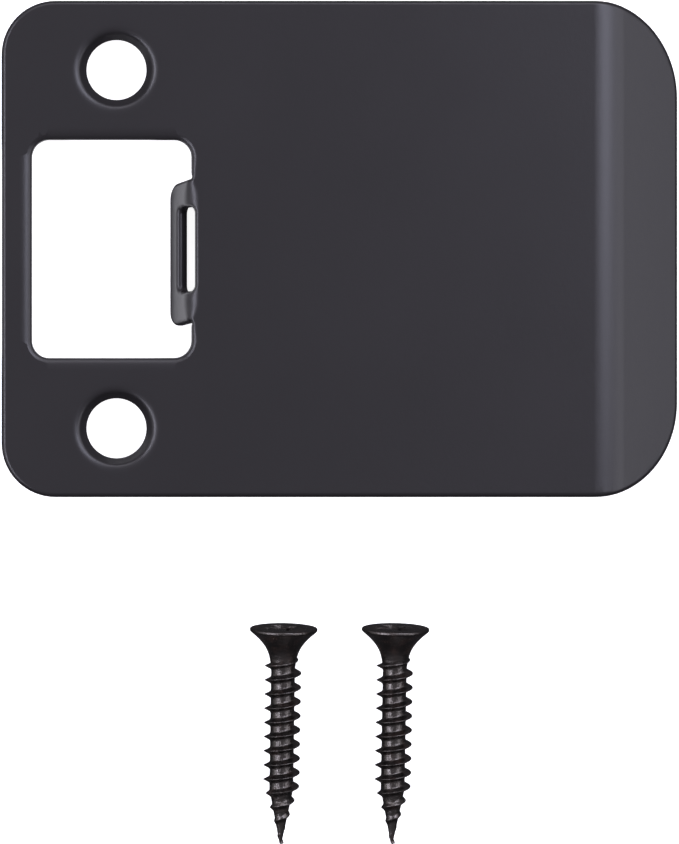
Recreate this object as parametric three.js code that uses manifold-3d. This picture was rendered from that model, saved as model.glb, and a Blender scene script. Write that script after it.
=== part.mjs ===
// A full-lip door strike plate with an adjusting tang, and its two countersunk wood screws.
// The plate lies face up on a table, on the edge of its lip and the tip of its tang, with the
// screws beside it. Millimetres, +Z up, origin on the table under the middle of the layout.

import * as THREE from "three";
import { mergeVertices } from "three/addons/utils/BufferGeometryUtils.js";
import Module from "manifold-3d";

const wasm = await Module();
wasm.setup();

// ---- Driving dimensions: the pressed plate ----
const degrees = Math.PI / 180;
const sheet = 1.3; // steel thickness
const plateHeight = 57.15; // 2 1/4 in, along Y
const flatWidth = 68.0; // from the plain edge to the line where the lip starts to bend
const plainCornerRadius = 6.2;
const lipBend = { radius: 8.6, angle: 27 * degrees }; // radius of the front face
const lipLength = 7.0; // flat part of the lip past its bend, at the middle of its edge
const lipCornerRadius = 10.9;
const lipCrown = 0.1; // the sheared edge bows out by this much, so the plate rests on its middle

const screwHoleInset = 13.2; // from the plain edge
const screwHoleSpacing = 41.3; // 1 5/8 in
const screwHoleRadius = 3.45;
const countersink = { radius: 4.55, depth: 0.95 };

const latchHole = { inset: 3.5, width: 18.35, height: 25.1, cornerRadius: 2.0 };

// ---- Driving dimensions: the tang that a screwdriver bends to take up play in the door ----
const tangRootWidth = 16.5;
const tangLine = 23.1; // from the plain edge to the line where the tang starts to bend
const tangBend = { radius: 2.4, angle: 62 * degrees };
const tangCornerRadius = 1.6;
const tangLean = 0.1; // the blank leans towards the lower screw hole by this share of its length
const tangStub = 0.3; // flat sheet kept on the tang's side of its bend line
const slot = { start: 1.03, width: 3.13, height: 9.7, cornerRadius: 0.75 };
const clearance = 0.3; // between the tang's solid and the plate's

// ---- Driving dimensions: the wood screws, measured down from the top of the head ----
const screwLength = 25.4; // 1 in
const headRadius = 3.9;
const rimDepth = 0.32;
const coreRadius = 1.38;
const crestRadius = 2.12;
const pitch = 1.66;
const tipRadius = 0.12;
const coreTaperStart = 18.9;
const crestTaper = { start: 18.4, end: 24.0 };
const threadFade = { start: 2.9, end: 4.4 }; // the thread rises out of the neck between these
const threadStart = 25.2;
const flankSlope = 0.5; // half of the ridge's foot over its height
const recess = { span: 2.4, floorSpan: 0.8, wingWidth: 1.05, depth: 2.5, turn: 24 * degrees };

// ---- Driving dimensions: the layout on the table ----
const layoutLength = 97.5; // from the screws' points to the plate's upper edge
const screwX = { screw_left: -6.59, screw_right: 6.31 };
const screwLean = 0.95 * degrees; // each head lies a little to the right of its point

// ---- Sizes that follow ----
const lipArc = lipBend.radius * lipBend.angle;
const lipRun = lipBend.radius * Math.sin(lipBend.angle) + lipLength * Math.cos(lipBend.angle);
const lipDrop = dropOf(lipBend, lipLength);
const faceZ = lipDrop; // the front face's height over the table
const plainEdgeX = -(flatWidth + lipRun) / 2;
const plateY = (layoutLength - plateHeight) / 2;
const tangArc = tangBend.radius * tangBend.angle;
const tangLength = lengthForDrop(tangBend, faceZ);

// How far a bent flap reaches below the front face, down to its lower edge.
function dropOf({ radius, angle }, length) {
  return radius * (1 - Math.cos(angle)) + length * Math.sin(angle) + sheet * Math.cos(angle);
}

// The flat length past a bend that makes the flap reach down by drop.
function lengthForDrop(bend, drop) {
  return (drop - dropOf(bend, 0)) / Math.sin(bend.angle);
}

// ---- Solids ----

// A closed three.js geometry as a solid that can be joined and cut.
function solidOf(geometry) {
  const bare = geometry.clone();
  bare.deleteAttribute("normal");
  bare.deleteAttribute("uv");
  const merged = mergeVertices(bare, 1e-4);
  const corners = merged.index.array;
  const triVerts = [];
  for (let i = 0; i < corners.length; i += 3) {
    const [a, b, c] = [corners[i], corners[i + 1], corners[i + 2]];
    if (a !== b && b !== c && c !== a) triVerts.push(a, b, c);
  }
  return new wasm.Manifold(
    new wasm.Mesh({
      numProp: 3,
      vertProperties: merged.attributes.position.array,
      triVerts: new Uint32Array(triVerts),
    }),
  );
}

// A solid back as a three.js geometry with flat-shaded faces.
function geometryOf(solid) {
  const mesh = solid.getMesh();
  const geometry = new THREE.BufferGeometry()
    .setAttribute("position", new THREE.BufferAttribute(new Float32Array(mesh.vertProperties), 3))
    .setIndex(new THREE.BufferAttribute(new Uint32Array(mesh.triVerts), 1));
  const faceted = geometry.toNonIndexed();
  faceted.computeVertexNormals();
  return faceted;
}

function join(first, ...others) {
  return others.reduce((whole, other) => whole.add(other), first);
}

function cut(body, ...tools) {
  return tools.reduce((left, tool) => left.subtract(tool), body);
}

// A body of revolution about +Z, from a profile of [radius, z] points that runs up the outside.
function turned(profile, segments) {
  const points = profile.map(([radius, z]) => new THREE.Vector2(radius, z));
  return new THREE.LatheGeometry(points, segments).rotateX(Math.PI / 2);
}

// A rectangle centred on (x, y) with its four corners rounded.
function roundedRectangle(x, y, width, height, radius) {
  const [left, right] = [x - width / 2, x + width / 2];
  const [low, high] = [y - height / 2, y + height / 2];
  const shape = new THREE.Shape();
  shape.absarc(left + radius, low + radius, radius, Math.PI, 1.5 * Math.PI);
  shape.absarc(right - radius, low + radius, radius, 1.5 * Math.PI, 2 * Math.PI);
  shape.absarc(right - radius, high - radius, radius, 0, 0.5 * Math.PI);
  shape.absarc(left + radius, high - radius, radius, 0.5 * Math.PI, Math.PI);
  shape.closePath();
  return shape;
}

// An upright prism of an outline between two heights.
function prism(shape, bottom, top, curveSegments = 6) {
  return new THREE.ExtrudeGeometry(shape, {
    depth: top - bottom,
    bevelEnabled: false,
    curveSegments,
  }).translate(0, 0, bottom);
}

// ---- Sheet bent down from the front face ----

// Where a point of the sheet goes: s is its distance along the front face past the bend line,
// depth its distance below that face, and side is +1 for a flap that runs along +X, else -1.
function bentPoint({ x, side, radius, angle }, s, y, depth) {
  const turn = Math.min(Math.max(s / radius, 0), angle);
  const before = Math.min(s, 0);
  const past = Math.max(s - radius * angle, 0);
  const along = before + (radius - depth) * Math.sin(turn) + past * Math.cos(turn);
  const down = radius - (radius - depth) * Math.cos(turn) + past * Math.sin(turn);
  return [x + side * along, y, faceZ - down];
}

// A closed strip that follows a bend, lofted through sections across it. Each section is
// {s, low, high}: its place along the bend and its two ends in Y.
function bentStrip(bend, sections, front = 0, back = sheet) {
  const positions = sections.flatMap(({ s, low, high }) => [
    ...bentPoint(bend, s, low, front),
    ...bentPoint(bend, s, high, front),
    ...bentPoint(bend, s, high, back),
    ...bentPoint(bend, s, low, back),
  ]);
  const last = 4 * (sections.length - 1);
  const faces = [0, 1, 2, 0, 2, 3, last, last + 2, last + 1, last, last + 3, last + 2];
  for (let near = 0; near < last; near += 4) {
    for (let corner = 0; corner < 4; corner += 1) {
      const [a, b] = [near + corner, near + ((corner + 1) % 4)];
      faces.push(a, a + 4, b + 4, a, b + 4, b);
    }
  }
  if (bend.side < 0) faces.reverse();
  return new THREE.BufferGeometry()
    .setAttribute("position", new THREE.BufferAttribute(new Float32Array(positions), 3))
    .setIndex(faces);
}

// Evenly spaced values from first to last.
function spread(first, last, steps) {
  return Array.from({ length: steps + 1 }, (_, i) => first + ((last - first) * i) / steps);
}

// Values that step round a corner's quarter circle, which ends at end.
function cornerStations(end, radius, steps) {
  return spread(0, Math.PI / 2, steps).map((turn) => end - radius * (1 - Math.sin(turn)));
}

// How much a rounded corner that ends at end takes off the half width at s.
function cornerInset(s, end, radius) {
  const into = Math.max(s - (end - radius), 0);
  return radius - Math.sqrt(Math.max(radius * radius - into * into, 0));
}

function sorted(values) {
  return values.toSorted((a, b) => a - b).filter((v, i, all) => i === 0 || v - all[i - 1] > 0.02);
}

// ---- The plate: one pressing, with its lip, latch hole and two drawn countersinks ----
function lipStrip() {
  const bend = { x: plainEdgeX + flatWidth, side: 1, ...lipBend };
  const cornersEnd = lipArc + lipLength - lipCrown;
  const overlap = 1; // into the flat plate, so that the two join
  const stations = sorted([
    -overlap,
    ...spread(0, lipArc, 6),
    ...cornerStations(cornersEnd, lipCornerRadius, 8),
  ]);
  const sections = stations.map((s) => {
    const half = plateHeight / 2 - cornerInset(s, cornersEnd, lipCornerRadius);
    return { s, low: plateY - half, high: plateY + half };
  });
  const edgeHalf = plateHeight / 2 - lipCornerRadius;
  for (const left of [0.75, 0.5, 0.25, 0]) { // share of the edge that the crown still spans
    const s = cornersEnd + lipCrown * (1 - left * left);
    sections.push({ s, low: plateY - edgeHalf * left, high: plateY + edgeHalf * left });
  }
  return bentStrip(bend, sections);
}

function flatOutline() {
  const [left, right] = [plainEdgeX, plainEdgeX + flatWidth];
  const [low, high] = [plateY - plateHeight / 2, plateY + plateHeight / 2];
  const radius = plainCornerRadius;
  const outline = new THREE.Shape();
  outline.moveTo(right, low);
  outline.lineTo(right, high);
  outline.absarc(left + radius, high - radius, radius, 0.5 * Math.PI, Math.PI);
  outline.absarc(left + radius, low + radius, radius, Math.PI, 1.5 * Math.PI);
  outline.closePath();
  return outline;
}

function countersunkHole(y) {
  const beyond = 1; // the tool runs past both faces
  const [front, back] = [faceZ, faceZ - sheet];
  const profile = [
    [0, back - beyond],
    [screwHoleRadius, back - beyond],
    [screwHoleRadius, front - countersink.depth],
    [countersink.radius, front],
    [countersink.radius, front + beyond],
    [0, front + beyond],
  ];
  return turned(profile, 32).translate(plainEdgeX + screwHoleInset, y, 0);
}

function strikePlate() {
  const [front, back] = [faceZ, faceZ - sheet];
  const beyond = 1;
  const { inset, width, height, cornerRadius } = latchHole;
  const holeX = plainEdgeX + inset + width / 2;
  const notchEnd = tangLine + tangStub + clearance;
  const notchWidth = notchEnd - (inset + width) + beyond;
  const notchShape = roundedRectangle(
    plainEdgeX + notchEnd - notchWidth / 2,
    plateY,
    notchWidth,
    tangRootWidth + 2 * clearance,
    0.2,
  );
  const pressing = join(solidOf(prism(flatOutline(), back, front, 10)), solidOf(lipStrip()));
  return cut(
    pressing,
    solidOf(
      prism(roundedRectangle(holeX, plateY, width, height, cornerRadius), back - beyond, front + beyond),
    ),
    solidOf(prism(notchShape, back - beyond, front + beyond, 2)),
    solidOf(countersunkHole(plateY + screwHoleSpacing / 2)),
    solidOf(countersunkHole(plateY - screwHoleSpacing / 2)),
  );
}

// ---- The tang: bent down out of the latch hole, with a slot for the screwdriver ----
function adjustingTang() {
  const bend = { x: plainEdgeX + tangLine, side: -1, ...tangBend };
  const end = tangArc + tangLength;
  const tangStations = sorted([
    -tangStub,
    ...spread(0, tangArc, 6),
    ...cornerStations(end, tangCornerRadius, 5),
  ]);
  const tang = bentStrip(
    bend,
    tangStations.map((s) => {
      const half = tangRootWidth / 2 - cornerInset(s, end, tangCornerRadius);
      const centre = plateY - tangLean * Math.max(s, 0);
      return { s, low: centre - half, high: centre + half };
    }),
  );
  const slotEnd = slot.start + slot.width;
  const slotMiddle = slot.start + slot.width / 2;
  const beyond = 0.3; // the tool runs past both faces of the sheet
  const nearCorner = cornerStations(slotEnd, slot.cornerRadius, 4);
  const slotStations = sorted([
    ...nearCorner,
    ...nearCorner.map((s) => 2 * slotMiddle - s),
    slotMiddle,
    tangArc,
  ]);
  const slotTool = bentStrip(
    bend,
    slotStations.map((s) => {
      const fromMiddle = Math.abs(s - slotMiddle);
      const half = slot.height / 2 - cornerInset(slotMiddle + fromMiddle, slotEnd, slot.cornerRadius);
      return { s, low: plateY - half, high: plateY + half };
    }),
    -beyond,
    sheet + beyond,
  );
  return cut(solidOf(tang), solidOf(slotTool));
}

// ---- The screw, standing on its point with the top of its head at z = 0 ----

// Share of the way from one depth to another, from 0 to 1.
function share(depth, from, to) {
  return Math.min(Math.max((depth - from) / (to - from), 0), 1);
}

function coreAt(depth) {
  return coreRadius + (tipRadius - coreRadius) * share(depth, coreTaperStart, screwLength);
}

function crestAt(depth) {
  const tipEnd = coreAt(crestTaper.end);
  const full = crestRadius + (tipEnd - crestRadius) * share(depth, crestTaper.start, crestTaper.end);
  const core = coreAt(depth);
  const rise = share(depth, threadFade.start, threadFade.end);
  return Math.max(core + (full - core) * rise, core);
}

// The core and its right-hand thread as one closed surface. Every station round the helix has
// three points: the ridge's lower foot, its crest and its upper foot.
function threadedCore() {
  const perTurn = 20;
  const turns = (threadStart - threadFade.start) / pitch;
  const stations = Math.round(turns * perTurn);
  const positions = [];
  for (let i = 0; i <= stations; i += 1) {
    const turn = (2 * Math.PI * i) / perTurn;
    const depth = threadStart - (pitch * i) / perTurn;
    const foot = Math.max(flankSlope * (crestAt(depth) - coreAt(depth)), 0.03);
    for (const [radius, z] of [
      [coreAt(depth + foot), -depth - foot],
      [crestAt(depth), -depth],
      [coreAt(depth - foot), -depth + foot],
    ]) {
      positions.push(radius * Math.cos(turn), radius * Math.sin(turn), z);
    }
  }
  const tip = positions.length / 3;
  positions.push(0, 0, -screwLength);
  const cap = tip + 1;
  positions.push(0, 0, -threadFade.start + pitch / 2);

  const faces = [];
  const quad = (a, b, c, d) => faces.push(a, b, c, a, c, d);
  const point = (station, row) => 3 * station + row;
  for (let i = 0; i < stations; i += 1) {
    quad(point(i, 0), point(i + 1, 0), point(i + 1, 1), point(i, 1));
    quad(point(i, 1), point(i + 1, 1), point(i + 1, 2), point(i, 2));
    if (i + perTurn < stations) {
      const above = i + perTurn;
      quad(point(i, 2), point(i + 1, 2), point(above + 1, 0), point(above, 0));
    }
  }
  for (let i = 0; i < perTurn; i += 1) {
    faces.push(tip, point(i + 1, 0), point(i, 0));
    const top = stations - perTurn + i;
    faces.push(cap, point(top, 2), point(top + 1, 2));
  }
  faces.push(tip, point(0, 0), point(0, 1), tip, point(0, 1), point(0, 2));
  faces.push(tip, point(0, 2), point(perTurn, 0));
  faces.push(cap, point(stations, 2), point(stations, 1));
  faces.push(cap, point(stations, 1), point(stations, 0));
  faces.push(cap, point(stations, 0), point(stations - perTurn, 2));
  return new THREE.BufferGeometry()
    .setAttribute("position", new THREE.BufferAttribute(new Float32Array(positions), 3))
    .setIndex(faces);
}

function headAndNeck() {
  const inCore = 0.94 * coreRadius; // hidden inside the threaded core
  const profile = [
    [0, -6],
    [inCore, -5.6],
    [1.42, -4.1],
    [1.6, -3.3],
    [1.82, -2.72],
    [2.1, -2.2],
    [2.45, -1.72],
    [3.5, -0.62],
    [headRadius, -rimDepth],
    [headRadius, -0.06],
    [headRadius - 0.08, 0],
    [0, 0],
  ];
  return turned(profile, 40);
}

// One bar of the cross recess: a tapered blade, narrower at the floor than at the top.
function recessBlade(turn) {
  const { span, floorSpan, wingWidth, depth } = recess;
  const beyond = 0.5;
  const outline = new THREE.Shape();
  outline.moveTo(-floorSpan, -depth);
  outline.lineTo(floorSpan, -depth);
  outline.lineTo(span, 0);
  outline.lineTo(span, beyond);
  outline.lineTo(-span, beyond);
  outline.lineTo(-span, 0);
  outline.closePath();
  const blade = new THREE.ExtrudeGeometry(outline, { depth: wingWidth, bevelEnabled: false });
  return blade
    .translate(0, 0, -wingWidth / 2)
    .rotateX(Math.PI / 2)
    .rotateZ(turn);
}

function woodScrew() {
  return cut(
    join(solidOf(threadedCore()), solidOf(headAndNeck())),
    solidOf(recessBlade(recess.turn)),
    solidOf(recessBlade(recess.turn + Math.PI / 2)),
  );
}

// ---- Finishes ----
const plateCoating = new THREE.MeshStandardMaterial({
  color: new THREE.Color().setRGB(55 / 255, 54 / 255, 59 / 255, THREE.SRGBColorSpace),
  roughness: 0.5,
  metalness: 0.2,
});
const tangCoating = plateCoating.clone();
const screwCoating = new THREE.MeshStandardMaterial({
  color: new THREE.Color().setRGB(28 / 255, 25 / 255, 26 / 255, THREE.SRGBColorSpace),
  roughness: 0.35,
  metalness: 0.6,
});

// ---- The layout ----

// A lying screw touches the table with its head's rim and with the lowest crest of its last
// full turn, so its axis tilts and its head is the higher end.
function layScrew(name, geometry) {
  const quarterTurn = pitch / 4; // crests face the table a quarter turn past the start
  const turnsUp = Math.ceil((threadStart - quarterTurn - crestTaper.start) / pitch);
  const lastFullCrest = threadStart - quarterTurn - turnsUp * pitch;
  const tilt = Math.atan2(headRadius - crestRadius, lastFullCrest - rimDepth);
  const screw = new THREE.Mesh(geometry, screwCoating.clone());
  screw.name = name;
  screw.rotation.x = tilt - Math.PI / 2;
  screw.position.z = headRadius * Math.cos(tilt) + rimDepth * Math.sin(tilt);
  const place = new THREE.Group();
  const reach = screwLength * Math.cos(tilt) * Math.cos(screwLean);
  place.position.set(screwX[name], reach - layoutLength / 2, 0);
  place.rotation.z = -screwLean;
  place.add(screw);
  return place;
}

const kit = new THREE.Group();
const plateMesh = new THREE.Mesh(geometryOf(strikePlate()), plateCoating);
plateMesh.name = "strike_plate";
const tangMesh = new THREE.Mesh(geometryOf(adjustingTang()), tangCoating);
tangMesh.name = "adjusting_tang";
const screwGeometry = geometryOf(woodScrew());
kit.add(
  plateMesh,
  tangMesh,
  layScrew("screw_left", screwGeometry),
  layScrew("screw_right", screwGeometry.clone()),
);

export default kit;
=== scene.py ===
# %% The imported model
import math

import bmesh
import bpy
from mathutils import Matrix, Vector


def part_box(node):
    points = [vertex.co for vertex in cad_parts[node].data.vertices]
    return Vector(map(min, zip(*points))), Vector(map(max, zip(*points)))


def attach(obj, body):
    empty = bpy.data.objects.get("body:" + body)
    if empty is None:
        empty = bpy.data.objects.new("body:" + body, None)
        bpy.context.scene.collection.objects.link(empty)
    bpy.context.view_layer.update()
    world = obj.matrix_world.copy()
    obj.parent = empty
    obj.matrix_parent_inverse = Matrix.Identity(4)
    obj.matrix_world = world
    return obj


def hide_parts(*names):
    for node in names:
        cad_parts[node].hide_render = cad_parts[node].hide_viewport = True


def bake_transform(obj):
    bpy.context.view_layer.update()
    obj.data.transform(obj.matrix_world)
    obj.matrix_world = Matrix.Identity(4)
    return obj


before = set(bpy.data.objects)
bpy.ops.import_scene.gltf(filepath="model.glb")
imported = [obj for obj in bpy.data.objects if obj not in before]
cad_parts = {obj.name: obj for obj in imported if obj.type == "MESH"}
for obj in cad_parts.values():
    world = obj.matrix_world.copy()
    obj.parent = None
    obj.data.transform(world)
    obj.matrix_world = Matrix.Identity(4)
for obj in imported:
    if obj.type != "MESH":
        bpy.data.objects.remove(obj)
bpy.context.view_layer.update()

print("nodes:", sorted(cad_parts))

# %% [markdown]
# # A strike plate and its two wood screws
#
# A strike plate is the metal keeper that is let into a door frame, where the latch bolt of the
# door springs into its hole. This one is a single pressing of 1.3 mm steel with a black powder
# coat. Its long lip is bent back to guide the bolt, two drawn dimples take the screws, and a
# slotted tang at the edge of the latch hole can be bent with a screwdriver to take up play.
#
# The CAD model already has the right sizes, but its edges are sharp and its bends are coarse.
# Here each part is made again the way a press and a thread roller make it, and takes its place
# from the CAD part's box. The work is done in millimetres and is brought to metres at the end.

# %% Sizes in millimetres
METRES = 0.001


def millimetres(corner):
    """A corner of a CAD box in millimetres."""
    return Vector(corner) / METRES


plate_low, plate_high = map(millimetres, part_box("strike_plate"))
PLAIN_EDGE = plate_low.x
FACE = plate_high.z
MIDDLE = (plate_low.y + plate_high.y) / 2
HALF_HEIGHT = (plate_high.y - plate_low.y) / 2
SHEET = 1.3
FLAT_WIDTH = 68.0
LIP_RADIUS = 8.6
LIP_ANGLE = math.radians(27)
LIP_ARC = LIP_RADIUS * LIP_ANGLE
LIP_FLAT = 7.2
NEARLY = 0.001
print("plate from", [round(v, 3) for v in plate_low], "to", [round(v, 3) for v in plate_high])

# %% [markdown]
# ## Small helpers
#
# Blender's operators act on whatever is selected. So each step starts by clearing the selection,
# and then picks vertices, edges or faces in code by where they are. These helpers do only that,
# and keep the steps below short enough to read. Places that are closer than NEARLY, which is a
# thousandth of a millimetre, count as the same.


# %% Selecting, and moving between the modes
def only(piece):
    """Leaves nothing but this piece selected and active, in object mode."""
    if bpy.context.object and bpy.context.object.mode != "OBJECT":
        bpy.ops.object.mode_set(mode="OBJECT")
    bpy.ops.object.select_all(action="DESELECT")
    piece.select_set(True)
    bpy.context.view_layer.objects.active = piece


def edit(piece, kind="VERT"):
    """Opens a piece for editing with nothing selected."""
    only(piece)
    bpy.ops.object.mode_set(mode="EDIT")
    bpy.ops.mesh.select_mode(type=kind)
    bpy.ops.mesh.select_all(action="DESELECT")


def pick(piece, kind, test):
    """In edit mode, selects the vertices, edges or faces that pass a test, and counts them."""
    shape = bmesh.from_edit_mesh(piece.data)
    bpy.ops.mesh.select_all(action="DESELECT")
    found = [item for item in getattr(shape, kind) if test(item)]
    for item in found:
        item.select_set(True)
    shape.select_flush_mode()
    bmesh.update_edit_mesh(piece.data)
    return len(found)


def finish_edit(piece):
    """Merges doubles, turns the faces outwards and leaves edit mode."""
    bpy.ops.mesh.select_all(action="SELECT")
    bpy.ops.mesh.remove_doubles(threshold=NEARLY)
    bpy.ops.mesh.normals_make_consistent(inside=False)
    bpy.ops.object.mode_set(mode="OBJECT")


# %% Adding, cutting and copying pieces
def add_box(name, low, high):
    """A cube primitive at its size and place, with its place in its mesh."""
    centre = [(a + b) / 2 for a, b in zip(low, high)]
    bpy.ops.mesh.primitive_cube_add(size=1, location=centre)
    box = bpy.context.object
    box.name = name
    box.scale = [b - a for a, b in zip(low, high)]
    bpy.ops.object.transform_apply(location=True, rotation=True, scale=True)
    return box


def combine(piece, tool, operation):
    """Joins, cuts or keeps what two pieces share, and removes the tool."""
    only(piece)
    step = piece.modifiers.new("combine", "BOOLEAN")
    step.operation = operation
    step.solver = "EXACT"
    step.object = tool
    bpy.ops.object.modifier_apply(modifier=step.name)
    bpy.data.objects.remove(tool)


def copy_of(piece, name):
    """A copy with its own mesh."""
    only(piece)
    bpy.ops.object.duplicate(linked=False)
    copy = bpy.context.object
    copy.name = name
    return copy


# %% Testing and counting
def upright(edge):
    """Tests for an edge that runs straight up."""
    a, b = edge.verts
    return abs(a.co.x - b.co.x) < NEARLY and abs(a.co.y - b.co.y) < NEARLY


def count(piece):
    """Prints how big a piece's mesh is."""
    print(f"{piece.name}: {len(piece.data.vertices)} vertices, {len(piece.data.polygons)} faces")


# %% The camera
VIEW_HEIGHT = 450.0
VIEW_LENGTH = 97.06
VIEW_X = -0.16
VIEW_Y = 0.25
SENSOR = 36.0
bpy.ops.object.camera_add(
    location=(VIEW_X * METRES, VIEW_Y * METRES, (FACE + VIEW_HEIGHT) * METRES), rotation=(0, 0, 0)
)
camera = bpy.context.object
camera.data.sensor_width = SENSOR
camera.data.lens = SENSOR * VIEW_HEIGHT / VIEW_LENGTH
bpy.context.scene.camera = camera
print("lens", round(camera.data.lens, 1), "mm")

# %% [markdown]
# ## The plate's blank
#
# The real plate is blanked from strip: one stroke cuts its outline, the latch hole and the
# tang's slot. The same order works here. A box as long as the unbent sheet gets its four upright
# corner edges bevelled to the outline's radii. A face with holes could also be drawn point by
# point, but corner radii made by bevel stay exact and are easy to change.

# %% The blank's outline
PLAIN_CORNER = 6.2
LIP_CORNER = 10.9
blank = add_box(
    "strike_plate_pressing",
    (PLAIN_EDGE, MIDDLE - HALF_HEIGHT, FACE - SHEET),
    (PLAIN_EDGE + FLAT_WIDTH + LIP_ARC + LIP_FLAT, MIDDLE + HALF_HEIGHT, FACE),
)
for side, radius, steps in (("plain", PLAIN_CORNER, 16), ("lip", LIP_CORNER, 24)):
    edit(blank, "EDGE")
    pick(blank, "edges", lambda e: upright(e) and (e.verts[0].co.x < 0) == (side == "plain"))
    bpy.ops.mesh.bevel(offset=radius, segments=steps, affect="EDGES", clamp_overlap=False)
bpy.ops.object.mode_set(mode="OBJECT")
count(blank)

# %% [markdown]
# The punch for the latch hole is a box with rounded corners, less the shape of the tang that
# stays behind. The tang's blank leans a little towards the lower screw hole. A small fillet where
# it meets the hole's edge stops the steel from tearing there.

# %% The latch hole's punch
HOLE_START = 3.5
HOLE_END = 21.85
HOLE_HALF = 12.55
HOLE_CORNER = 2.0
ABOVE = FACE + 3
BELOW = FACE - SHEET - 3

punch = add_box(
    "punch",
    (PLAIN_EDGE + HOLE_START, MIDDLE - HOLE_HALF, BELOW),
    (PLAIN_EDGE + HOLE_END, MIDDLE + HOLE_HALF, ABOVE),
)
edit(punch, "EDGE")
pick(punch, "edges", upright)
bpy.ops.mesh.bevel(offset=HOLE_CORNER, segments=10, affect="EDGES")
bpy.ops.object.mode_set(mode="OBJECT")

# %% The tang's outline, taken out of the punch
TANG_TIP = 16.47
TANG_HALF = 8.25
TANG_CORNER = 1.6
TANG_LEAN = 0.1
BEND_LINE = 23.1
ROOT_FILLET = 0.3
ROOT_REACH = 9

tab = add_box(
    "tab",
    (PLAIN_EDGE + TANG_TIP, MIDDLE - TANG_HALF, BELOW - 1),
    (PLAIN_EDGE + BEND_LINE, MIDDLE + TANG_HALF, ABOVE + 1),
)
edit(tab)
past_tip = PLAIN_EDGE + TANG_TIP + NEARLY
pick(tab, "verts", lambda v: v.co.x < past_tip)
bpy.ops.transform.translate(value=(0, -TANG_LEAN * (BEND_LINE - TANG_TIP), 0))
bpy.ops.mesh.select_mode(type="EDGE")
pick(tab, "edges", lambda e: upright(e) and e.verts[0].co.x < past_tip)
bpy.ops.mesh.bevel(offset=TANG_CORNER, segments=10, affect="EDGES")
bpy.ops.object.mode_set(mode="OBJECT")
combine(punch, tab, "DIFFERENCE")

edit(punch, "EDGE")
roots = pick(
    punch,
    "edges",
    lambda e: upright(e)
    and abs(e.verts[0].co.x - PLAIN_EDGE - HOLE_END) < NEARLY
    and abs(e.verts[0].co.y - MIDDLE) < ROOT_REACH,
)
bpy.ops.mesh.bevel(offset=ROOT_FILLET, segments=4, affect="EDGES")
bpy.ops.object.mode_set(mode="OBJECT")
print("root fillets:", roots)

# %% The slot's punch, and the cut
SLOT_START = 18.94
SLOT_END = 22.07
SLOT_HALF = 4.85
SLOT_CORNER = 0.75

slot_punch = add_box(
    "slot_punch",
    (PLAIN_EDGE + SLOT_START, MIDDLE - SLOT_HALF, BELOW),
    (PLAIN_EDGE + SLOT_END, MIDDLE + SLOT_HALF, ABOVE),
)
edit(slot_punch, "EDGE")
pick(slot_punch, "edges", upright)
bpy.ops.mesh.bevel(offset=SLOT_CORNER, segments=8, affect="EDGES")
bpy.ops.object.mode_set(mode="OBJECT")

combine(blank, punch, "DIFFERENCE")
combine(blank, slot_punch, "DIFFERENCE")
count(blank)

# %% [markdown]
# Blanking leaves the front rim softly rounded where the punch drew the steel in, and the back
# rim almost sharp, and the powder coat makes both rounder still. A wide bevel round every front
# rim and a narrow one round the back give that, while the rims are still flat outlines.


# %% The rounded rims
FRONT_ROUND = 0.58
BACK_ROUND = 0.3


def rim_at(height):
    """Tests for the edges where a flat side meets the upright cut wall."""

    def test(edge):
        level = all(abs(v.co.z - height) < NEARLY for v in edge.verts)
        tilts = sorted(abs(face.normal.z) for face in edge.link_faces)
        return level and len(tilts) == 2 and tilts[0] < 0.1 and tilts[1] > 0.9

    return test


for height, width, steps in ((FACE, FRONT_ROUND, 8), (FACE - SHEET, BACK_ROUND, 3)):
    edit(blank, "EDGE")
    rims = pick(blank, "edges", rim_at(height))
    bpy.ops.mesh.bevel(
        offset=width, segments=steps, affect="EDGES", clamp_overlap=False, loop_slide=False
    )
    print("rim edges:", rims)
finish_edit(blank)
count(blank)

# %% [markdown]
# Round the latch hole the punch drew the steel in further, so its rim is a long low roll, wider
# than it is deep. A bevel is always as wide as it is deep, so the finished bevel is stretched
# away from the hole. It stays narrow on the tang's side, where the steel was held.

# %% How far a place is from the latch hole
hole_middle = Vector((PLAIN_EDGE + (HOLE_START + HOLE_END) / 2, MIDDLE))
hole_half = Vector(((HOLE_END - HOLE_START) / 2, HOLE_HALF))


def eased(value):
    """0 below 0, 1 above 1 and a smooth step between."""
    value = min(max(value, 0.0), 1.0)
    return value * value * (3 - 2 * value)


def from_hole(place):
    """How far a place lies outside the latch hole's outline, and which way that is."""
    aside = place - hole_middle
    over = Vector((abs(aside.x), abs(aside.y))) - hole_half + Vector((HOLE_CORNER, HOLE_CORNER))
    inner = Vector((max(over.x, 0), max(over.y, 0)))
    way = inner.normalized()
    way = Vector((math.copysign(way.x, aside.x), math.copysign(way.y, aside.y)))
    return inner.length - HOLE_CORNER, way


# %% The latch hole's long rim
ROLL_WIDTH = 1.5
HELD_SHARE = 0.75
ROOT_END = 8.6
ROOT_FADE = 2

moved = 0
for vertex in blank.data.vertices:
    place = vertex.co.xy
    off_hole, way = from_hole(place)
    near_face = vertex.co.z > FACE - FRONT_ROUND - NEARLY
    if near_face and 0 < off_hole < FRONT_ROUND + NEARLY:
        share = 1.0
        if way.x > 0:
            off_root = abs(place.y - MIDDLE) - ROOT_END
            share = (1 - HELD_SHARE * way.x**2) * eased(off_root / ROOT_FADE)
        stretch = off_hole * (ROLL_WIDTH / FRONT_ROUND - 1) * share
        vertex.co.xy = place + way * stretch
        moved += 1
print("rim vertices stretched:", moved)

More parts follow.
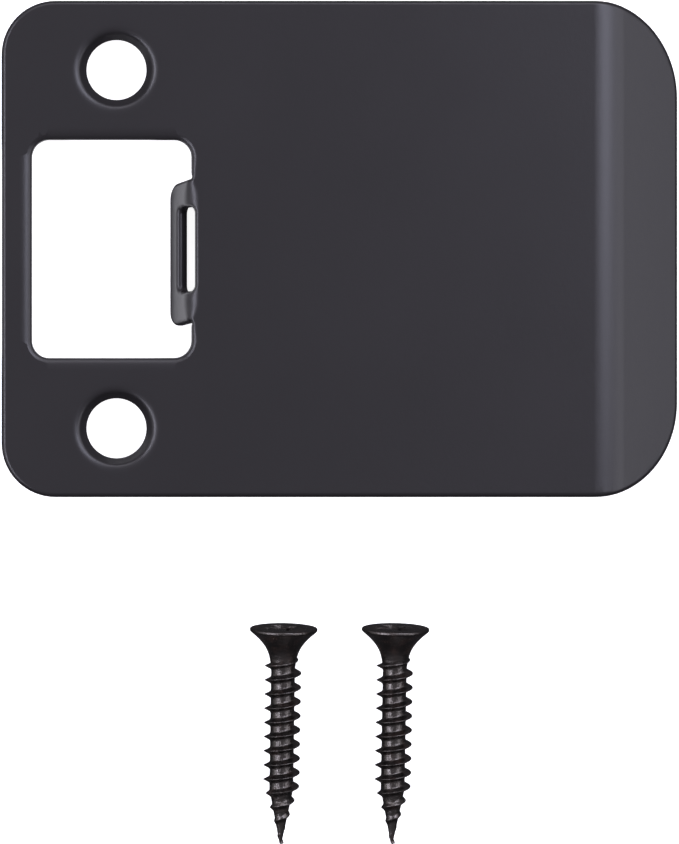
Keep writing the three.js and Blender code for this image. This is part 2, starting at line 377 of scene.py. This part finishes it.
# %% [markdown]
# ## The drawn screw dimples
#
# A punch pushes the sheet down round each screw hole, so the screw's head sinks level with the
# face. The steel flows, so the dimple's shoulder is soft, unlike a drilled countersink. Each one
# is turned from its section: a line is drawn by extruding one vertex from point to point, and
# spun round the hole's axis. The sheet's two flat sides are taken off, the rings are set in
# place, and the flats are filled again between all the rims. Cutting discs out with a boolean
# would leave stray vertices on the circles, which then wouldn't meet the rings.


# %% Drawing a section and turning it into a ring
def draw_section(name, points, lift=0.0):
    """A line through (radius, height) points, all lifted by the same amount, open for editing."""
    bpy.ops.mesh.primitive_plane_add(size=1, location=(0, 0, 0))
    line = bpy.context.object
    line.name = name
    edit(line)
    bpy.ops.mesh.select_all(action="SELECT")
    bpy.ops.mesh.merge(type="CENTER")
    bpy.ops.transform.translate(value=(points[0][0], 0, points[0][1] + lift))
    for (radius, height), (next_radius, next_height) in zip(points, points[1:]):
        step = (next_radius - radius, 0, next_height - height)
        bpy.ops.mesh.extrude_region_move(TRANSFORM_OT_translate={"value": step})
    return line


def turn_section(name, points, steps):
    """Draws a section and spins it round the upright axis."""
    ring = draw_section(name, points)
    bpy.ops.mesh.select_all(action="SELECT")
    bpy.ops.mesh.spin(steps=steps, angle=2 * math.pi, center=(0, 0, 0), axis=(0, 0, 1))
    finish_edit(ring)
    return ring


# %% A dimple's section
RING_RADIUS = 6.3
dimple_section = [
    (RING_RADIUS, 0.0),
    (5.3, 0.0),
    (5.0, -0.008),
    (4.8, -0.03),
    (4.64, -0.062),
    (4.51, -0.098),
    (4.4, -0.138),
    (4.3, -0.187),
    (4.2, -0.257),
    (4.09, -0.36),
    (3.97, -0.49),
    (3.85, -0.62),
    (3.73, -0.745),
    (3.61, -0.865),
    (3.52, -0.955),
    (3.46, -1.03),
    (3.45, -1.1),
    (3.45, -1.2),
    (3.5, -1.27),
    (3.58, -SHEET),
    (RING_RADIUS, -SHEET),
]


# %% Setting the dimples into the sheet
HOLE_INSET = 13.2
HOLE_SPACING = 41.3
ROUND_STEPS = 96


def lies_at(height):
    """Tests for an edge or face that lies flat at a height."""
    return lambda item: all(abs(v.co.z - height) < NEARLY for v in item.verts)


edit(blank, "FACE")
for height in (FACE, FACE - SHEET):
    flats = pick(blank, "faces", lies_at(height))
    bpy.ops.mesh.delete(type="FACE")
    print("flat faces taken off:", flats)
bpy.ops.object.mode_set(mode="OBJECT")

for side in (1, -1):
    ring = turn_section("dimple", dimple_section, ROUND_STEPS)
    ring.location = (PLAIN_EDGE + HOLE_INSET, MIDDLE + side * HOLE_SPACING / 2, FACE)
    bpy.ops.object.transform_apply(location=True, rotation=True, scale=True)
    only(blank)
    ring.select_set(True)
    bpy.ops.object.join()

edit(blank, "EDGE")
for height in (FACE, FACE - SHEET):
    at_height = lies_at(height)
    rims = pick(blank, "edges", lambda e: len(e.link_faces) == 1 and at_height(e))
    bpy.ops.mesh.fill(use_beauty=True)
    print("rim edges filled between:", rims)
finish_edit(blank)
count(blank)


# %% Is the sheet still one closed skin?
def open_edges(piece):
    """The number of edges that don't join exactly two faces."""
    shape = bmesh.new()
    shape.from_mesh(piece.data)
    loose = sum(1 for edge in shape.edges if len(edge.link_faces) != 2)
    shape.free()
    return loose


print("open edges:", open_edges(blank))

# %% [markdown]
# ## Parting the tang
#
# The tang is one piece of steel with the plate, but it moves when it is bent. So the sheet is
# parted along hidden lines in the flat steel just behind the tang's root. Both pieces keep the
# same faces there, so the joint doesn't show.

# %% Two pieces from one sheet
WINDOW_START = 12
SEAM = 24.5
SEAM_HALF = 9.0
tang = copy_of(blank, "tang_pressing")
window = (
    (PLAIN_EDGE + WINDOW_START, MIDDLE - SEAM_HALF, BELOW),
    (PLAIN_EDGE + SEAM, MIDDLE + SEAM_HALF, ABOVE),
)
combine(blank, add_box("window", *window), "DIFFERENCE")
combine(tang, add_box("window", *window), "INTERSECT")
for piece in (blank, tang):
    count(piece)
    print("open edges:", open_edges(piece))

# %% [markdown]
# ## Folding the lip
#
# A press brake folds sheet over a round bar, so the bend is an arc and the sheet past it stays
# flat. Folding a little at each of many close lines gives the same arc. Each line is cut into
# the mesh with bisect, and then all that lies past it is turned about it. A Simple Deform
# modifier could bend it too, but it stretches the flat part as well.


# %% Cutting lines across a piece
def cut_lines(piece, places, normal):
    """Cuts straight lines across a piece at these places along an axis."""
    edit(piece)
    for place in places:
        bpy.ops.mesh.select_all(action="SELECT")
        point = [place * n for n in normal]
        bpy.ops.mesh.bisect(plane_co=point, plane_no=normal, threshold=NEARLY / 2)
    bpy.ops.object.mode_set(mode="OBJECT")


# %% Folding the lip
FOLDS = 14
LIP_LINE = PLAIN_EDGE + FLAT_WIDTH
step_length = LIP_ARC / FOLDS
step_angle = LIP_ANGLE / FOLDS
fold_lines = [LIP_LINE + step_length * (i + 0.5) for i in range(FOLDS)]
cut_lines(blank, fold_lines, (1, 0, 0))
edit(blank)
# The furthest fold comes first, so that every other line is still flat when its turn comes.
for line in reversed(fold_lines):
    pick(blank, "verts", lambda v: v.co.x > line - NEARLY / 2)
    bpy.ops.transform.rotate(
        value=-step_angle, orient_axis="Y", center_override=(line, MIDDLE, FACE)
    )
finish_edit(blank)
lip_end = max(v.co.x for v in blank.data.vertices)
lip_low = min(v.co.z for v in blank.data.vertices)
print("lip reaches x", round(lip_end, 3), "of", round(plate_high.x, 3), "and z", round(lip_low, 3))

# %% [markdown]
# ## Pressing the tang down
#
# The tang is wiped down over a small radius by a punch. Along most of its root the bend is a
# clean arc, but at its two ends the steel is held by the flat sheet beside it, so the arc
# tightens there until it meets the edge of the latch hole. Straight folds can't do that, so the
# bend is a short formula: how far a point lies past the bend line says how far it has turned
# round the arc. The mesh is first cut into narrow strips, so that it can follow.

# %% The tang's bend
TANG_ANGLE = math.radians(62)
TANG_RADIUS = 2.4
TIGHT_RADIUS = 0.15
APEX = 21.58
BEND_FADE = 3.6
BEND_END = 9.6


def press(point):
    """Where a point of the flat sheet goes when the tang is pressed down."""
    along = point.x - PLAIN_EDGE
    off_middle = abs(point.y - MIDDLE + TANG_LEAN * max(BEND_LINE - along, 0))
    looseness = eased((BEND_END - off_middle) / BEND_FADE)
    radius = TIGHT_RADIUS + (TANG_RADIUS - TIGHT_RADIUS) * looseness
    start = APEX + radius * math.tan(TANG_ANGLE / 2)
    past_start = max(start - along, 0)
    if past_start == 0:
        return point
    turn = min(past_start / radius, TANG_ANGLE)
    beyond = max(past_start - radius * TANG_ANGLE, 0)
    depth = FACE - point.z
    reach = (radius - depth) * math.sin(turn) + beyond * math.cos(turn)
    drop = radius - (radius - depth) * math.cos(turn) + beyond * math.sin(turn)
    return Vector((PLAIN_EDGE + start - reach, point.y, FACE - drop))


# %% Cutting the tang into strips and pressing it
STRIPS_ALONG = (19.3, BEND_LINE, 26)
STRIPS_ACROSS = (5.9, 8.95, 16)


def spaced(first, last, steps):
    """Places at even steps from the first to the last."""
    return [first + (last - first) * i / steps for i in range(steps + 1)]


cut_lines(tang, [PLAIN_EDGE + place for place in spaced(*STRIPS_ALONG)], (1, 0, 0))
for side in (1, -1):
    cut_lines(tang, [MIDDLE + side * place for place in spaced(*STRIPS_ACROSS)], (0, 1, 0))
edit(tang)
for vert in bmesh.from_edit_mesh(tang.data).verts:
    vert.co = press(vert.co)
bmesh.update_edit_mesh(tang.data)
finish_edit(tang)
cad_tip = millimetres(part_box("adjusting_tang")[0]).x
tang_tip = min(v.co.x for v in tang.data.vertices)
tang_low = min(v.co.z for v in tang.data.vertices)
print("tang reaches x", round(tang_tip, 3), "of", round(cad_tip, 3), "and z", round(tang_low, 3))
print("open edges:", open_edges(tang))

# %% [markdown]
# ## The wood screws
#
# The screws are cold headed and thread rolled. The head is a bugle shape, a trumpet curve that
# sinks into the dimple. Its section is drawn and spun like the dimple's. The thread is one turn's
# section swept round and up by a Screw modifier. It starts a whole turn below the screw's point,
# because a sweep's first turn has a stepped edge, which is cut off level. Rolled threads run out
# into the neck and taper to the point, so afterwards every point's radius is moved in by how deep
# it lies.

# %% The thread's section
CORE = 1.38
CREST = 2.12
PITCH = 1.66

half_section = [
    (CORE, -PITCH / 2),
    (CORE + 0.004, -0.62),
    (CORE + 0.015, -0.5),
    (CORE + 0.05, -0.415),
    (CORE + 0.13, -0.35),
    (CORE + 0.42, -0.2),
    (CREST - 0.06, -0.07),
    (CREST - 0.012, -0.035),
    (CREST, 0.0),
]
section = half_section + [(radius, -height) for radius, height in reversed(half_section[:-1])]
print("thread section:", len(section), "points")

# %% The swept thread
SCREW_LENGTH = 25.4
THREAD_START = 25.2
TURNS = 15
SWEEP_STEPS = 48

thread = draw_section("threaded_shank", section, lift=-THREAD_START - PITCH)
only(thread)
sweep = thread.modifiers.new("thread", "SCREW")
sweep.axis = "Z"
sweep.angle = 2 * math.pi
sweep.screw_offset = PITCH
sweep.iterations = TURNS
sweep.steps = SWEEP_STEPS
sweep.render_steps = SWEEP_STEPS
sweep.use_merge_vertices = True
sweep.merge_threshold = NEARLY / 2
bpy.ops.object.modifier_apply(modifier=sweep.name)
count(thread)

# %% How the shank tapers to its point and into the neck
TIP_RADIUS = 0.1
CORE_TAPER = 18.9
CREST_TAPER = 18.4
CREST_END = 24.0
NECK_START = 2.9
NECK_END = 4.4


def between(depth, start, end):
    """0 above the start depth, 1 below the end depth and a straight rise between."""
    return min(max((depth - start) / (end - start), 0.0), 1.0)


def core_at(depth):
    """The shank's radius between the crests at this depth."""
    return CORE + (TIP_RADIUS - CORE) * between(depth, CORE_TAPER, SCREW_LENGTH)


def crest_at(depth):
    """The thread's outer radius at this depth."""
    full = CREST + (core_at(CREST_END) - CREST) * between(depth, CREST_TAPER, CREST_END)
    rise = eased(between(depth, NECK_START, NECK_END))
    return max(core_at(depth) + (full - core_at(depth)) * rise, core_at(depth))


# %% Tapering the thread
TIP_CUT = 0.12
edit(thread)
bpy.ops.mesh.select_all(action="SELECT")
bpy.ops.mesh.remove_doubles(threshold=NEARLY)
for vert in bmesh.from_edit_mesh(thread.data).verts:
    radius = math.hypot(vert.co.x, vert.co.y)
    height_share = (radius - CORE) / (CREST - CORE)
    depth = -vert.co.z
    new_radius = core_at(depth) + height_share * (crest_at(depth) - core_at(depth))
    vert.co.x *= new_radius / radius
    vert.co.y *= new_radius / radius
bmesh.update_edit_mesh(thread.data)
for depth, outwards in ((SCREW_LENGTH - TIP_CUT, -1), (NECK_START, 1)):
    bpy.ops.mesh.select_all(action="SELECT")
    bpy.ops.mesh.bisect(
        plane_co=(0, 0, -depth),
        plane_no=(0, 0, outwards),
        use_fill=True,
        clear_outer=True,
        threshold=0.0001,
    )
pick(thread, "verts", lambda v: v.co.z < -SCREW_LENGTH + TIP_CUT + NEARLY)
bpy.ops.mesh.extrude_region_move(TRANSFORM_OT_translate={"value": (0, 0, -TIP_CUT)})
bpy.ops.mesh.merge(type="CENTER")
finish_edit(thread)
count(thread)
print("open edges:", open_edges(thread))

# %% The bugle head
HEAD_RADIUS = 3.9
head_section = [
    (0.0, 0.0),
    (3.7, 0.0),
    (3.8, -0.02),
    (3.87, -0.06),
    (HEAD_RADIUS, -0.12),
    (HEAD_RADIUS, -0.27),
    (3.88, -0.34),
    (3.8, -0.43),
    (3.66, -0.55),
    (3.46, -0.72),
    (3.2, -0.95),
    (2.95, -1.19),
    (2.7, -1.45),
    (2.48, -1.7),
    (2.27, -1.97),
    (2.08, -2.25),
    (1.92, -2.54),
    (1.78, -2.85),
    (1.67, -3.18),
    (1.58, -3.54),
    (1.5, -3.95),
    (1.43, -4.4),
    (1.37, -4.9),
    (1.3, -5.4),
    (0.0, -5.6),
]
screw = turn_section("wood_screw", head_section, ROUND_STEPS)
count(screw)
combine(screw, thread, "UNION")

# %% [markdown]
# The cross recess is two tapered wings, set square to each other. Each is a box that narrows
# towards its foot, as the driver's tip does. Its top stands clear of the head, and is widened a
# little so that the recess has its right size where it meets the head's face.

# %% The cross recess
RECESS_TURN = 24
WING_REACH = 2.4
WING_HALF = 0.52
WING_DEPTH = 2.5
WING_CLEAR = 0.5
WING_FOOT = (0.34, 0.75, 1)
WING_TOP = (1.07, 1.08, 1)
for turn in (RECESS_TURN, RECESS_TURN + 90):
    wing = add_box(
        "wing", (-WING_REACH, -WING_HALF, -WING_DEPTH), (WING_REACH, WING_HALF, WING_CLEAR)
    )
    edit(wing)
    pick(wing, "verts", lambda v: v.co.z < 0)
    bpy.ops.transform.resize(value=WING_FOOT, center_override=(0, 0, 0))
    pick(wing, "verts", lambda v: v.co.z > 0)
    bpy.ops.transform.resize(value=WING_TOP, center_override=(0, 0, 0))
    only(wing)
    wing.rotation_euler.z = math.radians(turn)
    bpy.ops.object.transform_apply(location=True, rotation=True, scale=True)
    combine(screw, wing, "DIFFERENCE")
edit(screw)
finish_edit(screw)
count(screw)
print("open edges:", open_edges(screw))

# %% [markdown]
# ## Laying the screws on the table
#
# A loose screw rolls onto its head's rim and one low crest of its thread, so its head lies a
# little higher than its point. One screw is modelled and copied, each copy with its own mesh.

# %% Two screws, each on its own body
LOW_CREST = 18.145
RIM_DEPTH = 0.32
screw_tilt = math.atan2(HEAD_RADIUS - CREST, LOW_CREST - RIM_DEPTH)
screw_lean = math.radians(0.95)
reach = SCREW_LENGTH * math.cos(screw_tilt) * math.cos(screw_lean)
rest_height = HEAD_RADIUS * math.cos(screw_tilt) + RIM_DEPTH * math.sin(screw_tilt)
screws = {}
for side in ("left", "right"):
    low, high = map(millimetres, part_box(f"screw_{side}"))
    laid = copy_of(screw, f"wood_screw_{side}")
    laid.location = ((low.x + high.x) / 2, low.y + reach, rest_height)
    laid.rotation_euler = (screw_tilt - math.pi / 2, 0, -screw_lean)
    bpy.ops.object.transform_apply(location=True, rotation=True, scale=True)
    screws[side] = laid
    for axis in (0, 1, 2):
        places = [v.co[axis] for v in laid.data.vertices]
        gaps = (min(places) - low[axis], max(places) - high[axis])
        print(side, "xyz"[axis], "off the CAD box by", [round(gap, 3) for gap in gaps])
bpy.data.objects.remove(screw)

# %% [markdown]
# ## From millimetres to metres, and smooth shading
#
# The finished pieces are brought to metres. Faces that meet at a small angle are shaded as one
# smooth surface, and larger angles stay crisp. A Weighted Normal modifier then keeps the big
# flats flat, so all the roundness shows in the rims.

# %% Finishing the meshes
SMOOTH_BELOW = math.radians(34)
for piece in (blank, tang, screws["left"], screws["right"]):
    only(piece)
    piece.scale = (METRES, METRES, METRES)
    bpy.ops.object.transform_apply(location=True, rotation=True, scale=True)
    bpy.ops.object.shade_smooth_by_angle(angle=SMOOTH_BELOW)
    weigh = piece.modifiers.new("weigh", "WEIGHTED_NORMAL")
    weigh.keep_sharp = True
    weigh.weight = 60
    bpy.ops.object.modifier_apply(modifier=weigh.name)
    count(piece)

# %% [markdown]
# ## Writing shaders as sums
#
# A shader is a network of nodes, but most of it is arithmetic. This small class wraps a node's
# output so that ordinary Python sums add the Math nodes. Its one method for any other node takes
# the node's type, its settings, and what goes into its sockets.


# %% A node's output that can stand in a sum
class Wire:
    """One output socket. Sums on it add Math nodes to its tree."""

    def __init__(self, tree, socket=None):
        self.tree = tree
        self.socket = socket

    def node(self, kind, settings=None, inputs=None, output=0):
        """Adds a node, sets it up, joins its inputs and gives one of its outputs."""
        made = self.tree.nodes.new(kind)
        for name, value in (settings or {}).items():
            if name == "stops":
                ramp = made.color_ramp
                while len(ramp.elements) < len(value):
                    ramp.elements.new(0.5)
                for element, (place, colour) in zip(ramp.elements, value):
                    element.position = place
                    element.color = colour
            else:
                setattr(made, name, value)
        for name, value in (inputs or {}).items():
            if isinstance(value, Wire):
                self.tree.links.new(value.socket, made.inputs[name])
            else:
                made.inputs[name].default_value = value
        return Wire(self.tree, made.outputs[output])

    def sum(self, operation, first, second):
        """Adds one Math node for two values or wires."""
        return self.node("ShaderNodeMath", {"operation": operation}, {0: first, 1: second})

    def __add__(self, other):
        return self.sum("ADD", self, other)

    def __radd__(self, other):
        return self.sum("ADD", other, self)

    def __sub__(self, other):
        return self.sum("SUBTRACT", self, other)

    def __rsub__(self, other):
        return self.sum("SUBTRACT", other, self)

    def __mul__(self, other):
        return self.sum("MULTIPLY", self, other)

    def __rmul__(self, other):
        return self.sum("MULTIPLY", other, self)


# %% Starting a material, and its noise
def new_finish(name):
    """A material with its Principled shader, and a bare wire in its tree to start sums from."""
    finish = bpy.data.materials.new(name)
    finish.use_nodes = True
    shader = finish.node_tree.nodes["Principled BSDF"]
    return finish, shader, Wire(finish.node_tree)


def feed(start, shader, socket, wire):
    """Joins a wire to one of the shader's sockets."""
    start.tree.links.new(wire.socket, shader.inputs[socket])


def blotches(start, size, detail=2.0, roughness=0.5, stretch=(1, 1, 1)):
    """Noise of a feature size in millimetres, from 0 to 1, on the piece's own coordinates."""
    place = start.node("ShaderNodeTexCoord", output="Object")
    scaled = start.node("ShaderNodeMapping", {}, {"Vector": place, "Scale": stretch})
    return start.node(
        "ShaderNodeTexNoise",
        {},
        {"Vector": scaled, "Scale": 1 / (size * METRES), "Detail": detail, "Roughness": roughness},
    )


# %% [markdown]
# ## The plate's powder coat
#
# Powder coat is sprayed on as a dry powder and melted into a skin. It is a satin black that leans
# a little to violet, with a faint orange peel a few tenths of a millimetre across, and it is
# slightly uneven in gloss where the coat is thicker. Colour and roughness follow broad blotches,
# and the peel goes through a Bump node.

# %% Satin black powder coat
coat, coat_shader, start = new_finish("satin_black_powder_coat")
drift = blotches(start, 14.0, detail=3.0)
peel = blotches(start, 0.42, detail=2.0)
grain = blotches(start, 0.11, detail=1.0)
tone = drift * 0.6 + grain * 0.4
coat_colour = start.node(
    "ShaderNodeMix",
    {"data_type": "RGBA"},
    {"Factor": tone, "A": (0.0085, 0.0078, 0.0088, 1), "B": (0.0125, 0.0115, 0.0128, 1)},
    output="Result",
)
feed(start, coat_shader, "Base Color", coat_colour)
feed(start, coat_shader, "Roughness", 0.28 + drift * 0.02 + grain * 0.08)
coat_skin = start.node(
    "ShaderNodeBump",
    {},
    {"Height": peel * 0.6 + grain * 0.4, "Strength": 0.55, "Distance": 0.00002},
)
feed(start, coat_shader, "Normal", coat_skin)
coat_shader.inputs["IOR"].default_value = 1.5
print("powder coat:", len(start.tree.nodes), "nodes")

# %% [markdown]
# ## The screws' black oxide
#
# The screws are blackened in a hot bath and oiled. The skin is thin and glossy, and turns a
# reddish brown in small patches where it has rubbed thin. Rolling leaves fine scratches that run
# along the screw, and the bath leaves shallow pits, so both go through a Bump node.

# %% Glossy black oxide
oxide, oxide_shader, start = new_finish("glossy_black_oxide")
patches = blotches(start, 1.1, detail=3.0)
scratches = blotches(start, 0.12, detail=2.0, stretch=(1.0, 0.12, 1.0))
pits = blotches(start, 0.3, detail=2.0)
rubbed = start.node(
    "ShaderNodeMapRange",
    {},
    {"Value": patches * 0.7 + scratches * 0.3, "From Min": 0.5, "From Max": 0.68},
)
oxide_colour = start.node(
    "ShaderNodeMix",
    {"data_type": "RGBA"},
    {"Factor": rubbed, "A": (0.002, 0.0017, 0.0018, 1), "B": (0.016, 0.009, 0.007, 1)},
    output="Result",
)
feed(start, oxide_shader, "Base Color", oxide_colour)
feed(start, oxide_shader, "Roughness", 0.1 + scratches * 0.16 + patches * 0.08)
oxide_skin = start.node(
    "ShaderNodeBump",
    {},
    {"Height": scratches * 0.5 + pits * 0.5, "Strength": 0.9, "Distance": 0.00008},
)
feed(start, oxide_shader, "Normal", oxide_skin)
oxide_shader.inputs["IOR"].default_value = 1.9
oxide_shader.inputs["Specular Tint"].default_value = (1.0, 0.93, 0.86, 1)
print("oxide:", len(start.tree.nodes), "nodes")

# %% Putting the finishes on
for piece, finish in (
    (blank, coat),
    (tang, coat),
    (screws["left"], oxide),
    (screws["right"], oxide),
):
    piece.data.materials.clear()
    piece.data.materials.append(finish)

# %% [markdown]
# ## The table, and soft studio light
#
# Black metal shows little but what it reflects. So the wide table and the pale walls behind it
# are hidden from reflections, and only a white sheet lights up the tang. It lies under the latch
# hole and reaches out past the plate's plain edge.


# %% The white table and the pale walls
def pale_surface(piece, name, glow):
    """Gives a stage piece a white finish that also shines a little by itself."""
    finish, shader, _ = new_finish(name)
    shader.inputs["Base Color"].default_value = (0.85, 0.85, 0.85, 1)
    shader.inputs["Roughness"].default_value = 0.9
    shader.inputs["Emission Color"].default_value = (1, 1, 1, 1)
    shader.inputs["Emission Strength"].default_value = glow
    piece.data.materials.append(finish)


TABLE_GLOW = 0.9
WALL_GLOW = 0.75

bpy.ops.mesh.primitive_plane_add(size=8, location=(0, 0, 0))
table = bpy.context.object
table.name = "table_top"
pale_surface(table, "white_table", TABLE_GLOW)
table.visible_glossy = False

bpy.ops.mesh.primitive_cylinder_add(vertices=64, radius=3.9, depth=6, end_fill_type="NOTHING")
walls = bpy.context.object
walls.name = "studio_walls"
pale_surface(walls, "pale_walls", WALL_GLOW)
walls.visible_glossy = False
walls.visible_diffuse = False

# %% The white sheet under the tang
PAPER_MIDDLE = -21.3
PAPER_LENGTH = 77.3
PAPER_WIDTH = 24.5
PAPER_LIFT = 0.02
paper_place = Vector((PLAIN_EDGE + PAPER_MIDDLE, MIDDLE, PAPER_LIFT)) * METRES
bpy.ops.mesh.primitive_plane_add(size=1, location=paper_place)
white_sheet = bpy.context.object
white_sheet.name = "white_sheet"
white_sheet.scale = (PAPER_LENGTH * METRES, PAPER_WIDTH * METRES, 1)
pale_surface(white_sheet, "white_paper", TABLE_GLOW)

# %% [markdown]
# The flat steel mirrors whatever hangs over it, so the sky sets how black it looks. It is dim,
# and dimmer towards the horizon and behind the screws' points. Five long soft boxes hang in it,
# left, right and beyond, and draw the highlights along the bends and the rims. Which way a box
# hangs says which slope it lights, and how wide it is says how broad the highlight gets.

# %% The sky
SKY_LOW = 0.05
SKY_HIGH = 0.4
sky = bpy.data.worlds.new("studio")
sky.use_nodes = True
start = Wire(sky.node_tree)
direction = start.node("ShaderNodeTexCoord", output="Generated")
upwards = start.node("ShaderNodeSeparateXYZ", {}, {"Vector": direction}, output="Z")
beyond = start.node("ShaderNodeSeparateXYZ", {}, {"Vector": direction}, output="Y")
brightness = start.node(
    "ShaderNodeMapRange",
    {"interpolation_type": "SMOOTHSTEP"},
    {
        "Value": upwards * 0.5 + beyond * 0.3,
        "From Min": -0.3,
        "From Max": 0.5,
        "To Min": SKY_LOW,
        "To Max": SKY_HIGH,
    },
)
background = sky.node_tree.nodes["Background"]
background.inputs["Color"].default_value = (0.95, 0.9, 1.0, 1)
start.tree.links.new(brightness.socket, background.inputs["Strength"])
bpy.context.scene.world = sky
bpy.context.scene.view_settings.view_transform = "Standard"


# %% The lights
LAMP_DISTANCE = 0.7


def soft_box(name, sideways, beyond, length, width, power, colour, slide=0.0):
    """It can then be slid along Y, away from the screws, and keeps the way it faces.
    """
    away = Vector((math.tan(math.radians(sideways)), math.tan(math.radians(beyond)), 1))
    place = away.normalized() * LAMP_DISTANCE
    bpy.ops.object.light_add(type="AREA", location=place + Vector((0, slide, 0)))
    lamp = bpy.context.object
    lamp.name = name
    lamp.data.shape = "RECTANGLE"
    lamp.data.size = length
    lamp.data.size_y = width
    lamp.data.energy = power
    lamp.data.color = colour
    lamp.rotation_euler = (-place).to_track_quat("-Z", "Y").to_euler()
    return lamp


soft_box("right_box", 26, 0, 0.56, 0.22, 2.1, (0.97, 0.98, 1.2), slide=0.3)
soft_box("right_wide", 52, 0, 0.8, 0.26, 1.4, (0.99, 0.98, 1.1), slide=0.05)
soft_box("left_box", -42, 0, 0.8, 0.14, 2.7, (0.98, 0.97, 1.15))
soft_box("left_low", -72, 0, 0.8, 0.5, 0.7, (1.0, 0.98, 1.05))
soft_box("far_box", 0, 50, 0.7, 0.2, 1.2, (0.99, 0.97, 1.1))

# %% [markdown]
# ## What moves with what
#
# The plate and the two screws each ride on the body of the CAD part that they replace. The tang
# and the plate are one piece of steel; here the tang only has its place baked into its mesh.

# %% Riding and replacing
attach(blank, "plate")
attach(screws["left"], "left_screw")
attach(screws["right"], "right_screw")
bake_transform(tang)
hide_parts("strike_plate")
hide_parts("adjusting_tang")
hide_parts("screw_left")
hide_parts("screw_right")
